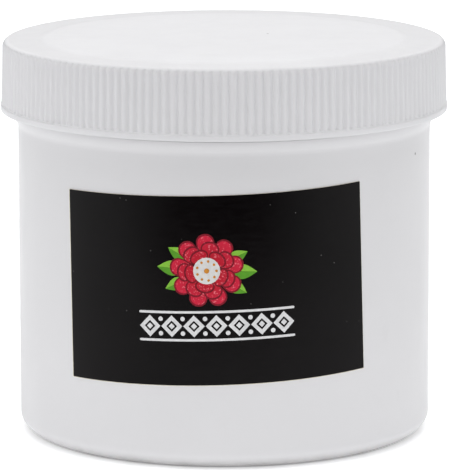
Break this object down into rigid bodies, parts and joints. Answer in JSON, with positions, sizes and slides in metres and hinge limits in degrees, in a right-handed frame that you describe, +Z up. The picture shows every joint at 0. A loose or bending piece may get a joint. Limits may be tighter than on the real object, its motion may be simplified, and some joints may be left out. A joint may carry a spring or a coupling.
{
  "type": "plastic screw-lid jar with label",
  "caption": "Wide-mouthed round white plastic jar with a ribbed screw lid, a sealing liner and a plain black wrapped label; stands on its base ring and stores food or supplies.",
  "frame": {"origin": "centre of the base, on the surface the jar stands on", "axes": "+Z up along the jar's axis; the label faces -Y; +X to the right of someone facing the label"},
  "size_m": [0.123, 0.123, 0.109],
  "materials": {
    "jar_plastic": "white, softly glossy moulded polypropylene",
    "lid_plastic": "white, satin moulded polypropylene",
    "liner_foam": "dull white foamed sheet",
    "label_print": "satin black print on a cream sticker"
  },
  "bodies": {
    "jar": {"jar": "jar_plastic", "label": "label_print"},
    "liner": {"liner": "liner_foam"},
    "lid": {"lid": "lid_plastic"}
  },
  "joints": [
    {"name": "lid_rise", "type": "slide", "parent": "jar", "child": "liner", "axis": [0, 0, 1], "range_m": [0, 0.00636]},
    {"name": "lid_turn", "type": "hinge", "parent": "liner", "child": "lid", "pos_m": [0, 0, 0.0979], "axis": [0, 0, 1], "range_deg": [0, 450]}
  ],
  "couplings": [
    {"joint": "lid_rise", "follows": "lid_turn", "m_per_rad": 0.00080851}
  ]
}
